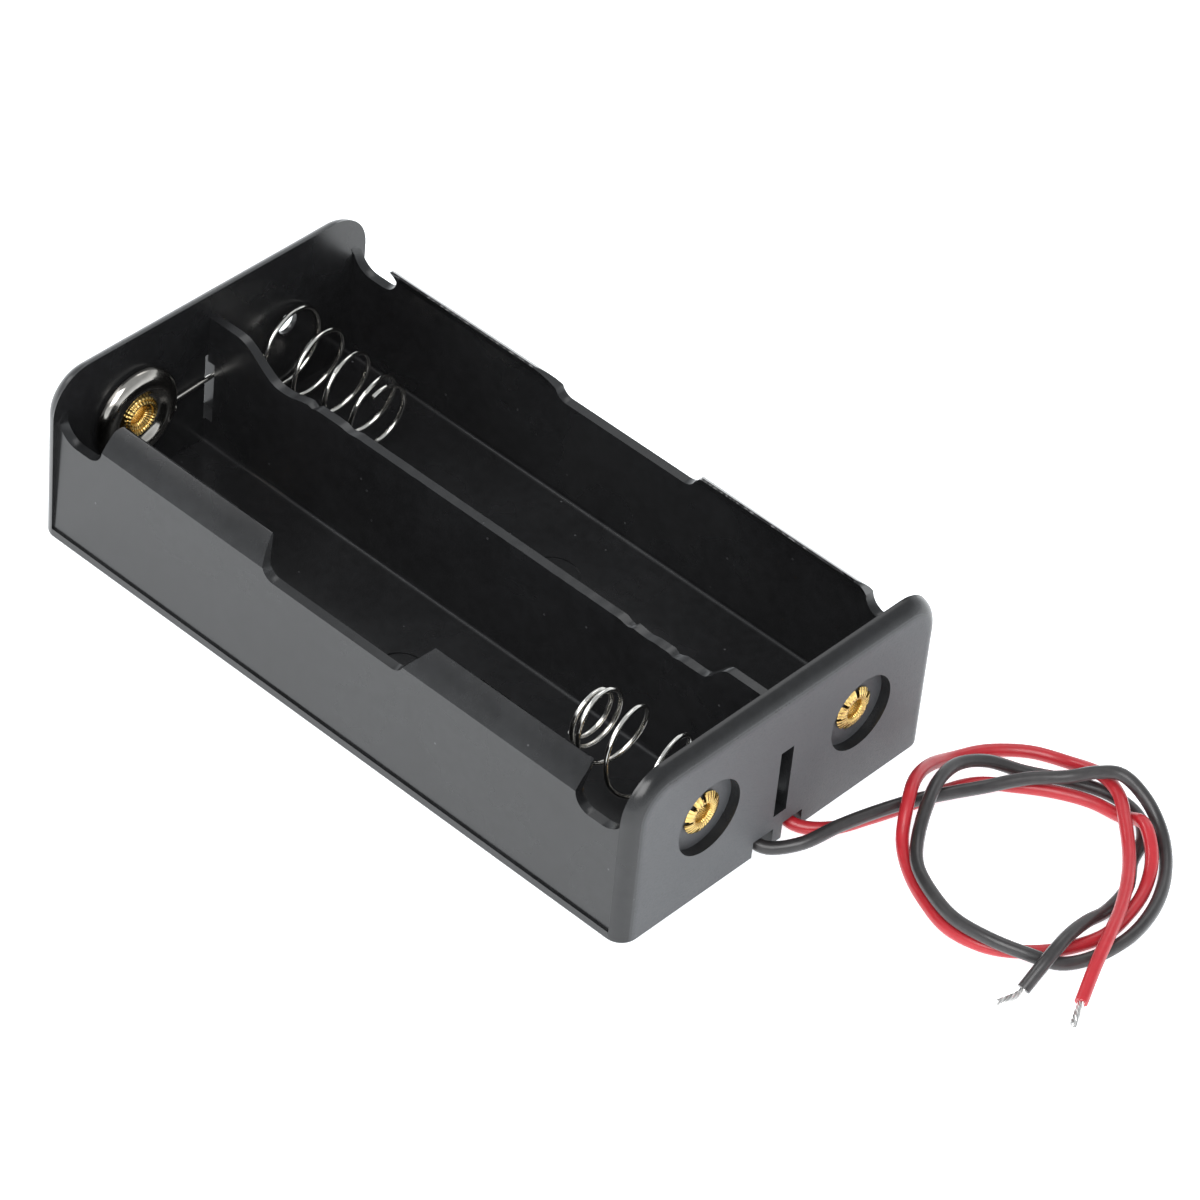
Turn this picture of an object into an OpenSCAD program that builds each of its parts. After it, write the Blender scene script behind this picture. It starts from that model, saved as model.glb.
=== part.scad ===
// Open moulded holder for two cylindrical cells lying side by side, with
// riveted coil-spring and cup contacts and two flying leads.
// X runs along the cells, Y across them, Z up from the underside.

/* [Case] */
// Length of the case over the end walls
case_l = 77; // [74:0.5:84]
// Width of the case over the base rim
case_w = 41.5; // [41:0.1:46]
// Height of the end walls
case_h = 19; // [18:0.5:24]
// Thickness of the floor
floor_t = 1.1; // [0.8:0.1:2]
// Thickness of the side walls
side_wall = 1.05; // [0.8:0.05:1.4]
// Thickness of the end walls
end_wall = 1.7; // [1.5:0.1:2.4]
// Radius that rounds the outer edges of the end walls
edge_r = 1.9; // [1:0.1:2.1]
// Radius of the end walls' upper corners, seen from the end
shoulder_r = 4.6; // [3:0.1:6]
// Amount by which each side wall stands in from the base rim
rim_step = 0.2; // [0.1:0.05:0.4]
// Height of the base rim
rim_h = 1; // [0.6:0.1:1.5]
// Radius that rounds the lower edge of the base rim
rim_r = 0.25; // [0.2:0.05:0.55]

// Radius at the feet of the side walls and of the partition
foot_r = 0.5; // [0.2:0.1:0.8]

/* [Side walls] */
// Inward lean of each side wall from its foot to its shoulder
wall_lean = 0.45; // [0:0.05:0.6]
// Height at which the walls start to close over the cells
shoulder_z = 13.9; // [12.5:0.1:15]
// Height of the ears' upper edge
ear_z = 16.1; // [15:0.1:17]
// Thickness of the ears at their upper edge
ear_tip_t = 0.4; // [0.3:0.05:0.8]
// Radius of the ears' corners beside the end walls
ear_corner_r = 0.8; // [0.3:0.1:1.2]
// Height of the finger cut-out's lower edge
finger_z = 12.9; // [9:0.1:14]
// Length of the finger cut-out along its lower edge
finger_l = 18.4; // [12:0.2:30]
// Run of the finger cut-outs' slanted sides
finger_slant = 1.7; // [1:0.1:4]
// Run of the one side that is steeper
finger_steep = 1; // [0.4:0.1:4]
// Height of the lower edge of the cuts beside the end walls
relief_z = 12.2; // [9:0.1:14]
// Length of the cuts beside the end walls
relief_l = 6; // [4:0.1:9]
// Radius in the lower corners of the finger cut-out
finger_r = 1.5; // [0.6:0.1:2]
// Radius in the corners of the cuts beside the end walls
relief_r = 1.8; // [0.6:0.1:2]
// Radius with which the side walls rise to the end walls
relief_end_r = 2.6; // [0.6:0.1:3]

/* [Partition] */
// Thickness of the partition between the bays, at the floor
partition_t = 1.3; // [1:0.05:2]
// Thickness of the partition along its top
partition_top_t = 0.9; // [0.7:0.05:1]
// Height of the partition along the cells
partition_z = 13.9; // [11:0.1:15]
// Height of the partition where it meets the far end wall
partition_far_z = 16.2; // [14:0.1:17.5]
// Height of the partition where it meets the near end wall
partition_near_z = 16.3; // [14:0.1:17.5]
// Length of the tall stretch at the far end wall
partition_far_l = 5.4; // [3:0.1:8]
// Length of the tall stretch at the near end wall
partition_near_l = 5.7; // [3:0.1:8]
// Run of the slope that leads down from the tall stretch at the far end
partition_slope = 4.4; // [2:0.1:6]
// Run of the slope that leads up to the tall stretch at the near end
partition_near_slope = 3.2; // [2:0.1:6]

/* [Contacts] */
// Distance of the contacts' axes from the middle of their bay, outward
contact_shift = 0.22; // [-0.3:0.02:0.5]
// Height of the contacts' axes
contact_z = 9.8; // [8:0.1:11]
// Diameter of the recess outside each rivet
recess_d = 8.1; // [6:0.1:9]
// Depth of the recess outside each rivet
recess_depth = 1.1; // [0.6:0.05:1.2]
// Diameter of the cup contacts
cup_d = 10.2; // [8:0.1:11]
// Thickness of the cup contacts' sheet
cup_t = 0.3; // [0.2:0.05:0.5]
// Height of the cup contacts' raised ring above the wall
cup_h = 1.5; // [1.2:0.1:2.2]
// Diameter of the raised ring
cup_ring_d = 7; // [6:0.1:7.6]

/* [Rivets] */
// Outside diameter of the eyelets' shank
shank_d = 2.4; // [2:0.1:3]
// Wall thickness of the eyelets
eyelet_t = 0.25; // [0.15:0.05:0.35]
// Diameter of the eyelets' rolled flange
flange_d = 4.4; // [4:0.1:5.4]
// Diameter over the split end of the eyelets
flare_d = 4.6; // [4:0.1:5.4]
// Number of petals in the split end
petals = 7; // [5:1:9]
// Clearance between a shank and its hole, on the diameter
shank_gap = 0.1; // [0.04:0.02:0.3]

/* [Springs] */
// Diameter of the spring wire
wire_d = 0.5; // [0.35:0.05:0.6]
// Outside diameter of a spring at the wall
spring_base_d = 9.7; // [8:0.1:10.4]
// Outside diameter of the riveted spring at its free end
negative_tip_d = 5.4; // [4:0.1:8]
// Outside diameter of the spring with the tail at its free end
link_tip_d = 7.2; // [4:0.1:8]
// Free length of a spring from the wall
spring_l = 13.8; // [11:0.1:18]
// Number of turns of the riveted spring
negative_turns = 4.2; // [3:0.1:5]
// Number of turns of the spring with the tail
link_turns = 4.2; // [3:0.1:5]
// How far the riveted spring's open turns close up toward its free end
negative_bunch = 0.4; // [0:0.1:1]
// Number of turns that lie close together at its free end
negative_closed = 1.7; // [0:0.1:2]
// Number of turns that lie close together at the other spring's free end
link_closed = 1; // [0:0.1:1.5]
// Height of the riveted spring's axis above its rivet
spring_lift = 0.5; // [0:0.1:0.8]
// Distance by which the spring with the tail has dropped below the contacts
spring_drop = 2.6; // [0:0.1:3.5]
// Distance by which the spring with the tail stands toward the partition
spring_aside = 0.4; // [0:0.1:0.5]

/* [Slots] */
// Width of the slot in each end wall
slot_w = 1.7; // [1:0.1:2]
// Height of the slot's lower end
slot_z = 3.75; // [3:0.05:6]
// Length of the slot
slot_l = 7.9; // [4:0.1:9]
// Length of the window that the slot cuts in the partition
window_l = 0.95; // [0.6:0.05:2]
// Distance by which the window's upper edge lies below the slot's
window_drop = 0.8; // [0:0.1:1.5]
// Width of the lead outlet at the foot of the near end wall
outlet_w = 6.7; // [6:0.1:9]
// Height of the lead outlet
outlet_h = 2.1; // [1.7:0.1:3]
// Width of the tongue that parts the two leads
tongue_w = 1.3; // [0.8:0.1:1.6]
// Length of the openings in the floor behind the outlet
well_l = 3.4; // [2.5:0.1:5]
// Diameter of the ejector marks in the floor
mark_d = 5.6; // [3:0.1:8]
// Width of the line that bounds an ejector mark
mark_line = 0.25; // [0.15:0.05:0.5]
// Depth of the ejector marks
mark_depth = 0.15; // [0.05:0.05:0.3]

/* [Leads] */
// Outside diameter of the leads
lead_d = 1.3; // [1:0.05:1.35]
// Diameter of the bare twisted ends
strand_d = 0.7; // [0.4:0.05:0.9]
// Length of the bare twisted ends
tip_l = 2.8; // [2:0.1:5]
// Diameter of the solder joints
solder_d = 2; // [1.6:0.1:2.4]
// Distance of the leads' soldered ends from the contacts' axes, inward
solder_in = 4.9; // [4.7:0.1:5.3]
// Depth of the leads' soldered ends below the contacts' axes
solder_below = 5; // [4.8:0.1:5.4]

/* [Hidden] */

$fn = 48;
eps = 0.02;

half_l = case_l / 2;
half_w = case_w / 2;
wall_x = half_l - end_wall;
web_t = end_wall - recess_depth;
core_t = max(end_wall - edge_r, eps);

// Faces of the side walls at the foot and at the shoulder
foot_out = half_w - rim_step;
foot_in = foot_out - side_wall;
contact_y = (partition_t / 2 + foot_in) / 2 + contact_shift;
shoulder_out = foot_out - wall_lean;
shoulder_in = foot_in - wall_lean;
// The ears take up from the walls: inside they follow a circle about the
// cell axis, outside a larger circle whose centre is set off from it, so
// that they thin out toward their upper edge
ear_r_in = norm([shoulder_in - contact_y, shoulder_z - contact_z]);
ear_foot = atan2(shoulder_z - contact_z, shoulder_out - contact_y);
ear_angle = asin((ear_z - contact_z) / ear_r_in);
ear_set_off = (side_wall - ear_tip_t) / (cos(45) - cos(45 + ear_angle - ear_foot));
ear_centre = ear_set_off * [cos(ear_foot - 45), sin(ear_foot - 45)];
ear_r_out = norm([shoulder_out - contact_y, shoulder_z - contact_z] - ear_centre);
ear_way = [cos(ear_angle), sin(ear_angle)];
ear_reach = ear_way * ear_centre
    + sqrt(pow(ear_way * ear_centre, 2) - ear_centre * ear_centre + pow(ear_r_out, 2));
ear_top = contact_z + ear_reach * ear_way[1];

wire_r = wire_d / 2;
window_h = slot_l - window_drop;
bead_back = 1.5;
coil_base_r = spring_base_d / 2 - wire_r;
loop_r = shank_d / 2 + wire_r + 0.05;

cup_r = cup_d / 2;
ring_r = cup_ring_d / 2;
cup_seat = wire_d + 0.05;

// Smooth slope from one point to another as a list of points
function slope(a, b, n = 10) = [for (i = [0 : n]) let (t = i / n)
    [a[0] + (b[0] - a[0]) * t, a[1] + (b[1] - a[1]) * (1 - cos(180 * t)) / 2]];

// Routes of the leads from the solder joints to the cut ends, their X
// measured from the inner face of the near end wall
solder_y = contact_y - solder_in;
solder_z = contact_z - solder_below;
red_points = [
    [-1.1, solder_y, solder_z], [-1.4, solder_y - 0.9, solder_z - 1.2], [-1.2, 3.4, 2.4],
    [0, 2.4, 1.2], [2.1, 2.6, 0.7], [4.4, 4.8, 0.7], [5.8, 8.3, 0.7], [7, 12, 0.7],
    [8, 15.8, 0.7], [9.5, 19.3, 0.7], [12.3, 21.8, 0.7], [15.2, 23.9, 0.7],
    [18.3, 25.4, 0.7], [21.6, 25.8, 0.9], [24.6, 25.1, 2.6], [27.4, 23, 1.7],
    [29.1, 20.1, 0.7], [30.1, 16.6, 0.7], [30.4, 12.8, 0.7], [29.2, 9.1, 0.7],
    [27.1, 6, 0.7], [24.1, 3.6, 0.7], [20.2, 2.8, 0.7], [16.4, 3.9, 0.7], [13, 5.6, 0.8],
    [10.4, 7.5, 1.7], [8.5, 10.2, 3.7], [7, 13, 3.7], [6, 16.4, 2.5], [5.9, 20, 1],
    [7.2, 23.4, 0.7], [10, 26.3, 0.7], [13.6, 27.8, 0.9], [17.4, 27.6, 2.2],
    [20.6, 26.2, 2.8], [23.3, 23.9, 2.7], [25.9, 21.4, 2.2], [28.1, 18.5, 2.2],
    [30, 15.2, 2.2], [31.5, 11.8, 2.3], [32.9, 8.2, 1.8], [34.4, 4.6, 0.7]];

black_points = [
    [-1.1, -solder_y, solder_z], [-1.4, 0.9 - solder_y, solder_z - 1.2],
    [-1.2, -3.5, 2.4], [0, -2.4, 1.2], [2.1, -1.7, 0.7], [4.4, 0.6, 1.5],
    [5.5, 4.2, 2.1], [6.6, 8, 2.2], [7.9, 11.7, 2.2], [9.5, 15.2, 2.1],
    [10.9, 18.4, 1.8], [13.1, 21.9, 2.2], [15.7, 24.7, 2.5], [17.8, 26.2, 3.6],
    [20.1, 27.1, 4.3], [22.9, 27.4, 3], [25.7, 26.5, 1.5], [28.2, 24.3, 0.7],
    [30.3, 21.1, 0.7], [31.6, 17.6, 0.7], [32.1, 13.8, 0.7], [31.5, 9.8, 0.7],
    [30.1, 6.8, 0.9], [27.7, 4.7, 1.8], [24.4, 3.3, 2.2], [20.6, 2.9, 2.2],
    [17, 3.9, 2.2], [13.8, 5.6, 2.3], [11.6, 8.2, 2.6], [9.9, 11.3, 3.5],
    [8.6, 14.5, 3.7], [8, 18, 3], [9, 21.2, 2], [11.6, 23.8, 0.8], [15.2, 26.1, 0.7],
    [18.8, 27.5, 0.7], [22.3, 27.3, 0.7], [24.7, 25.2, 0.7], [26, 22, 0.7],
    [27.9, 19, 0.7], [28.5, 15.4, 0.7], [28.8, 11.8, 1.9], [29.3, 8.4, 2.7],
    [29.8, 5.2, 2.5], [29.8, 2, 0.7]];
red_route = [for (p = red_points) p + [wall_x, 0, 0]];
black_route = [for (p = black_points) p + [wall_x, 0, 0]];

// Round-cornered plate with its lower edge rounded
module base_plate(l, w, h, r, edge) {
    for (sx = [-1, 1], sy = [-1, 1])
        translate([sx * (l / 2 - r), sy * (w / 2 - r), 0])
            rotate_extrude()
                intersection() {
                    round_foot(r, h, edge);
                    square([r, h]);
                }
    translate([-l / 2 + r, 0, 0])
        rotate([90, 0, 90])
            linear_extrude(l - 2 * r)
                round_foot(w / 2, h, edge);
    translate([0, w / 2 - r, 0])
        rotate([90, 0, 0])
            linear_extrude(w - 2 * r)
                round_foot(l / 2, h, edge);
}

module round_foot(half, h, edge) {
    translate([-half, edge])
        square([2 * half, h - edge]);
    translate([-half + edge, 0])
        square([2 * (half - edge), h]);
    for (s = [-1, 1])
        translate([s * (half - edge), edge])
            circle(edge);
}

// Wall section with its outer top edge rounded, standing on the origin
module end_section(h) {
    square([core_t, h]);
    intersection() {
        square([end_wall, h]);
        union() {
            square([end_wall, h - edge_r]);
            translate([end_wall - edge_r, h - edge_r])
                circle(edge_r);
        }
    }
}

// End wall with every outer edge rounded, inner face on x = 0
module end_plate() {
    side = half_w - edge_r;
    // the sides, rounded in plan
    linear_extrude(case_h - shoulder_r)
        intersection() {
            translate([0, -half_w])
                square([end_wall, case_w]);
            union() {
                translate([0, -side])
                    square([end_wall, 2 * side]);
                translate([0, -half_w])
                    square([core_t, case_w]);
                for (s = [-1, 1])
                    translate([end_wall - edge_r, s * side])
                        circle(edge_r);
            }
        }
    // the top, between the corners
    translate([0, half_w - shoulder_r, 0])
        rotate([90, 0, 0])
            linear_extrude(case_w - 2 * shoulder_r)
                end_section(case_h);
    // the two upper corners
    for (s = [-1, 1])
        translate([0, s * (half_w - shoulder_r), case_h - shoulder_r])
            rotate([0, 90, 0])
                rotate_extrude()
                    intersection() {
                        square([shoulder_r, end_wall]);
                        union() {
                            square([shoulder_r - edge_r, end_wall]);
                            square([shoulder_r, core_t]);
                            translate([shoulder_r - edge_r, end_wall - edge_r])
                                circle(edge_r);
                        }
                    }
}

// Section of the side wall on the +Y side: a leaning wall and its ear
module wall_section() {
    polygon([[foot_in, 0], [foot_out, 0], [shoulder_out, shoulder_z],
        [shoulder_in, shoulder_z]]);
    translate([foot_in, floor_t])
        mirror([1, 0])
            corner(foot_r);
    translate([contact_y, contact_z])
        intersection() {
            difference() {
                translate(ear_centre)
                    circle(ear_r_out, $fn = 96);
                circle(ear_r_in, $fn = 96);
            }
            polygon([[0, 0], [case_w, 0], [case_w, case_w * tan(ear_angle)]]);
            translate([0, shoulder_z - contact_z - eps])
                square(case_w);
        }
}

// Cut open at the top, its lower corners rounded with radii r0 and r1
module notch(x0, x1, z, r0, r1) {
    top = case_h + 1;
    difference() {
        translate([x0, z])
            square([x1 - x0, top - z]);
        translate([x0, z])
            corner(r0);
        translate([x1, z])
            mirror([1, 0])
                corner(r1);
    }
}

// What a radius leaves standing in a corner on the origin
module corner(r) {
    difference() {
        translate([-eps, -eps])
            square(r + eps);
        translate([r, r])
            circle(r);
    }
}

// What leans back on the +X side of a finger cut-out
module finger_side(run) {
    half = finger_l / 2;
    polygon([[0, finger_z + finger_r], [half - 0.4, finger_z + 0.45],
        [half, finger_z + 1.1], [half + run, ear_z], [half + run, case_h],
        [0, case_h]]);
}

// Upper outline of a side wall, seen from the side
module wall_outline(run) {
    half_finger = finger_l / 2;
    difference() {
        translate([-wall_x - eps, 0])
            square([2 * (wall_x + eps), case_h]);
        for (s = [0, 1])
            mirror([s, 0]) {
                notch(wall_x - relief_l, wall_x, relief_z, relief_r, relief_end_r);
                translate([wall_x - relief_l, ear_top])
                    rotate(180)
                        corner(ear_corner_r);
            }
        notch(-half_finger, half_finger, finger_z, finger_r, finger_r);
        finger_side(finger_slant);
        mirror([1, 0])
            finger_side(run);
    }
}

module side_wall_body(run) {
    intersection() {
        translate([-wall_x - eps, 0, 0])
            rotate([90, 0, 90])
                linear_extrude(2 * (wall_x + eps))
                    wall_section();
        translate([0, half_w + 1, 0])
            rotate([90, 0, 0])
                linear_extrude(half_w)
                    mirror([1, 0])
                        wall_outline(run);
    }
}

// The partition dips behind the tall stretches at both ends
module partition() {
    far_x = -wall_x + partition_far_l;
    near_x = wall_x - partition_near_l;
    dip = 0.7;
    top = partition_top_t / 2;
    foot = partition_t / 2;
    intersection() {
        rotate([90, 0, 90])
            linear_extrude(case_l, center = true) {
                polygon([[-foot, 0], [foot, 0], [top, case_h], [-top, case_h]]);
                for (s = [0, 1])
                    mirror([s, 0])
                        translate([foot, floor_t])
                            corner(foot_r);
            }
        rotate([90, 0, 0])
            linear_extrude(partition_t + 3 * foot_r, center = true)
                polygon(concat(
                    [[-wall_x - eps, 0], [-wall_x - eps, partition_far_z]],
                    slope([far_x - 1.6, partition_far_z],
                        [far_x + partition_slope, partition_z - dip]),
                    slope([far_x + partition_slope + 0.6, partition_z - dip],
                        [far_x + partition_slope * 2, partition_z], 6),
                    slope([near_x - partition_near_slope, partition_z],
                        [near_x, partition_near_z]),
                    [[wall_x + eps, partition_near_z], [wall_x + eps, 0]]));
    }
}

module case() {
    color([0.13, 0.13, 0.14])
        difference() {
            union() {
                base_plate(case_l, case_w, rim_h, edge_r, rim_r);
                translate([-wall_x - eps, -foot_out, rim_h / 2])
                    cube([2 * (wall_x + eps), 2 * foot_out, floor_t - rim_h / 2]);
                for (s = [0, 1])
                    mirror([s, 0, 0])
                        translate([wall_x, 0, rim_h / 2])
                            end_plate_above();
                side_wall_body(finger_slant);
                rotate([0, 0, 180])
                    side_wall_body(finger_steep);
                partition();
            }
            for (s = [-1, 1]) {
                // recesses and rivet holes
                for (t = [-1, 1])
                    translate([s * half_l, t * contact_y, contact_z])
                        rotate([0, -s * 90, 0]) {
                            translate([0, 0, -1])
                                cylinder(h = 1 + recess_depth, d = recess_d);
                            translate([0, 0, -1])
                                cylinder(h = 2 + end_wall, d = shank_d + shank_gap);
                        }
                // the slot and the window it leaves in the partition
                translate([s * half_l, 0, slot_z + slot_l / 2])
                    cube([2 * end_wall, slot_w, slot_l], center = true);
                translate([s * (wall_x - window_l / 2), 0, slot_z + window_h / 2])
                    cube([window_l + eps, slot_w, window_h], center = true);
            }
            lead_outlet();
            for (t = [-1, 1])
                translate([0, t * contact_y, floor_t - mark_depth])
                    difference() {
                        cylinder(h = 1, d = mark_d);
                        translate([0, 0, -1])
                            cylinder(h = 3, d = mark_d - 2 * mark_line);
                    }
        }
}

module end_plate_above() {
    intersection() {
        translate([0, 0, -rim_h / 2])
            end_plate();
        translate([0, -half_w, 0])
            cube([end_wall, case_w, case_h]);
    }
}

// Outlet under the near end wall, parted by a tongue, and the floor
// openings that let the leads up into the bays
module lead_outlet() {
    gap = (outlet_w - tongue_w) / 2;
    for (s = [-1, 1]) {
        translate([wall_x - eps, s * (tongue_w + gap) / 2 - gap / 2, -1])
            cube([end_wall + 1, gap, 1 + outlet_h]);
        translate([wall_x - well_l, s > 0 ? partition_t / 2 : -outlet_w / 2 - 1.5, -1])
            cube([well_l, outlet_w / 2 + 1.5 - partition_t / 2, 1 + floor_t + foot_r]);
    }
}

// ---- wires ----

function unit(v) = v / norm(v);

// Directions at each point of a route
function tangents(p) = [for (i = [0 : len(p) - 1])
    unit(p[min(i + 1, len(p) - 1)] - p[max(i - 1, 0)])];

// Normals carried along a route without twist
function normals(t, i = 0, n = [0, 0, 1], out = []) =
    i == len(t) ? out :
    let (seed = i == 0 && abs(t[0] * n) > 0.9 ? [0, 1, 0] : n,
        m = unit(seed - (seed * t[i]) * t[i]))
    normals(t, i + 1, m, concat(out, [m]));

// Tube of radius r through the points of a route
module tube(p, r, sides = 8) {
    t = tangents(p);
    n = normals(t);
    k = len(p);
    points = [for (i = [0 : k - 1], j = [0 : sides - 1])
        let (a = 360 * j / sides, b = cross(t[i], n[i]))
        p[i] + r * (cos(a) * n[i] + sin(a) * b)];
    sides_faces = [for (i = [0 : k - 2], j = [0 : sides - 1])
        let (a = i * sides + j, b = i * sides + (j + 1) % sides)
        each [[a, b, a + sides], [b, b + sides, a + sides]]];
    polyhedron(points, concat(sides_faces,
        [[for (j = [sides - 1 : -1 : 0]) j],
        [for (j = [0 : sides - 1]) (k - 1) * sides + j]]), convexity = 10);
}

// Springs start flat on the wall and open toward the free end. There they
// close up by their share of bunching, or end in turns that lie close
// together. Turn count u is 0 where the wire leaves the wall.
steps = 20;
wall_gap = 0.02;
close_pitch = 1.5 * wire_d;

function coil_x(u, turns, bunch, closed) =
    let (open = turns - closed,
        v = min(max(u, 0), open) / open,
        rest = spring_l - wire_d - wall_gap - closed * close_pitch)
    wire_r + wall_gap + rest * (v + bunch * v * (1 - v)) + max(0, u - open) * close_pitch;

function coil_r(u, turns, tip_d) =
    coil_base_r + (tip_d / 2 - wire_r - coil_base_r) * max(u, 0) / turns;

// Points of a coil on a wall at x, growing in direction s, its axis at
// (y, z) and its free end raised by rise
function coil(x, s, y, z, rise, turns, flat, bunch, closed, tip_d, end_angle) =
    let (n = round((turns + flat) * steps))
    [for (k = [0 : n]) let (u = (turns + flat) * k / n - flat,
        a = end_angle - s * 360 * (turns - u),
        h = coil_x(u, turns, bunch, closed),
        r = coil_r(u, turns, tip_d))
        [x + s * h, y + r * cos(a), z + r * sin(a) + rise * h / spring_l]];

// The riveted spring's wire starts in a loop round its eyelet, spirals out
// on the wall and goes on into the coil
module negative_spring() {
    flat = 0.4;
    end_angle = 205;
    spiral = 1.35;
    spiral_out = 0.5;
    rise = 1.8;
    x = wall_x - wire_r - wall_gap;
    start = end_angle + 360 * (negative_turns + flat);
    n = round(spiral * steps);
    inner = [for (k = [0 : n - 1]) let (v = spiral * k / n,
        out = max(0, v - spiral + spiral_out) / spiral_out,
        r = loop_r + (coil_base_r - loop_r) * out,
        a = start + 360 * (spiral - v))
        [x, -contact_y + r * cos(a), contact_z + spring_lift * out + r * sin(a)]];
    outer = coil(wall_x, -1, -contact_y, contact_z + spring_lift, rise,
        negative_turns, flat, negative_bunch, negative_closed, negative_tip_d, end_angle);
    color([0.78, 0.77, 0.74])
        tube(concat(inner, outer), wire_r);
}

// The other spring is one wire with its tail, which runs through the window
// in the partition and loops round the eyelet under the cup contact
module link_spring() {
    end_angle = 112;
    rise = -0.6;
    bend = 2;
    link_z = contact_z - spring_drop;
    x = -wall_x + wire_r + wall_gap;
    link_y = contact_y - spring_aside;
    foot_y = link_y - coil_base_r;
    short = (end_angle - 180) / 360 - link_turns;
    loop = [for (a = [-390 : 20 : -90])
        [x, -contact_y + loop_r * cos(a), contact_z + loop_r * sin(a)]];
    half_way = [x, -contact_y / 2, (contact_z - loop_r + link_z + bend) / 2];
    turn = [for (a = [90 : -15 : 15])
        [x, foot_y - bend + bend * cos(a), link_z + bend * sin(a)]];
    color([0.78, 0.77, 0.74])
        tube(concat(loop, [half_way], turn, coil(-wall_x, 1, link_y, link_z, rise,
            link_turns, short - floor(short), 0, link_closed, link_tip_d, end_angle)),
            wire_r);
}

// ---- contacts and rivets, built with the wall's face at z = 0 ----

module on_wall(s, t) {
    translate([s * wall_x, t * contact_y, contact_z])
        rotate([0, -s * 90, 0])
            children();
}

seat_r = flange_d / 2 + 0.1;
crown = cup_h - cup_t;
function cup_under(r) =
    r < seat_r ? cup_seat :
    r < ring_r ? cup_seat + (crown - cup_seat) * (1 - cos(180 * (r - seat_r) / (ring_r - seat_r))) / 2 :
    crown * sqrt(max(0, 1 - pow((r - ring_r) / (cup_r - ring_r), 2)));

// Dished washer with a raised ring round its eyelet
module cup() {
    bore = shank_d / 2 + shank_gap / 2;
    n = 12;
    inner = [for (i = [0 : n]) seat_r + (ring_r - seat_r) * i / n];
    outer = [for (i = [1 : n]) ring_r + (cup_r - ring_r) * sin(90 * i / n)];
    rs = concat([bore], inner, outer);
    rotate_extrude($fn = 64)
        polygon(concat(
            [for (r = rs) [r, cup_under(r) + cup_t]],
            [for (i = [len(rs) - 1 : -1 : 0]) [rs[i] - (i > n ? cup_t * (i - n) / n * 0.9 : 0),
                cup_under(rs[i])]]));
}

module positive_contact() {
    color([0.8, 0.79, 0.76])
        on_wall(1, 1)
            cup();
}

// The cup over the spring's tail has a gap in its rim for the wire
module link_contact() {
    color([0.8, 0.79, 0.76])
        difference() {
            on_wall(-1, -1)
                cup();
            translate([-wall_x - 0.1, -contact_y + ring_r, contact_z - loop_r - wire_r - 0.15])
                cube([wire_d + 0.2, cup_r, wire_d + 0.5]);
        }
}

// Tubular rivet: a rolled flange that clamps what lies under it at height
// seat, and a split end flared against the recess behind the web
module eyelet(seat) {
    r = shank_d / 2;
    roll = 0.3;
    difference() {
        rotate_extrude() {
            translate([r - eyelet_t, -web_t - 0.2])
                square([eyelet_t, web_t + seat + 0.5]);
            translate([r - eyelet_t, seat])
                square([flange_d / 2 - roll - r + eyelet_t, 0.22]);
            translate([flange_d / 2 - roll, seat + roll])
                circle(roll);
            translate([r - 0.05, seat + 0.42])
                circle(0.2);
            polygon([[r - eyelet_t, -web_t], [r - eyelet_t, -web_t - 0.5],
                [r + 0.15, -web_t - 0.62], [flare_d / 2 - 0.15, -web_t - 0.4],
                [flare_d / 2, -web_t - 0.15], [flare_d / 2 - 0.05, -web_t]]);
        }
        for (k = [0 : petals - 1])
            rotate([0, 0, k * 360 / petals])
                translate([0, 0, -web_t - 1])
                    linear_extrude(1)
                        polygon([[r + 0.12, -0.05], [flare_d / 2 + 0.2, -0.42],
                            [flare_d / 2 + 0.2, 0.42], [r + 0.12, 0.05]]);
    }
}

module negative_eyelet() {
    color([0.83, 0.68, 0.3])
        on_wall(1, -1)
            eyelet(wire_d + 0.04);
}

module positive_eyelet() {
    color([0.83, 0.68, 0.3])
        on_wall(1, 1)
            eyelet(cup_seat + cup_t);
}

module link_eyelet() {
    color([0.83, 0.68, 0.3])
        on_wall(-1, -1)
            eyelet(cup_seat + cup_t);
}

// ---- leads ----

module red_lead() {
    color([0.85, 0.12, 0.14])
        tube(red_route, lead_d / 2);
}

module black_lead() {
    color([0.14, 0.14, 0.15])
        tube(black_route, lead_d / 2);
}

function last(p) = p[len(p) - 1];
function end_way(p) = unit(last(p) - p[len(p) - 2]);

// Bare twisted end: it leaves the insulation and lies on the surface
module bare_tip(route, turn) {
    d = end_way(route);
    flat = unit([d[0], d[1], 0]);
    side = cross([0, 0, 1], flat);
    tube([last(route), last(route) + 0.7 * d,
        [last(route)[0], last(route)[1], strand_d / 2] + 1.7 * flat + turn * 0.4 * side,
        [last(route)[0], last(route)[1], strand_d / 2] + tip_l * flat + turn * side],
        strand_d / 2);
}

module red_lead_tip() {
    color([0.8, 0.8, 0.8])
        bare_tip(red_route, 0.1);
}

module black_lead_tip() {
    color([0.8, 0.8, 0.8])
        bare_tip(black_route, -0.4);
}

// Solder bead on the near wall beside a contact, with the end of the
// conductor
module bead(route, side) {
    way = unit(route[1] - route[0]);
    centre = route[0] - bead_back * way;
    difference() {
        translate(centre) {
            sphere(d = solder_d);
            rotate([0, acos(way[2]), atan2(way[1], way[0])])
                cylinder(h = bead_back, d = strand_d);
        }
        translate([wall_x, -half_w, 0])
            cube([end_wall, case_w, case_h]);
        on_wall(1, side)
            translate([0, 0, -1])
                cylinder(h = 6, d = max(cup_d, spring_base_d) + shank_gap);
    }
}

module red_solder_joint() {
    color([0.75, 0.75, 0.77])
        bead(red_route, 1);
}

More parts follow.
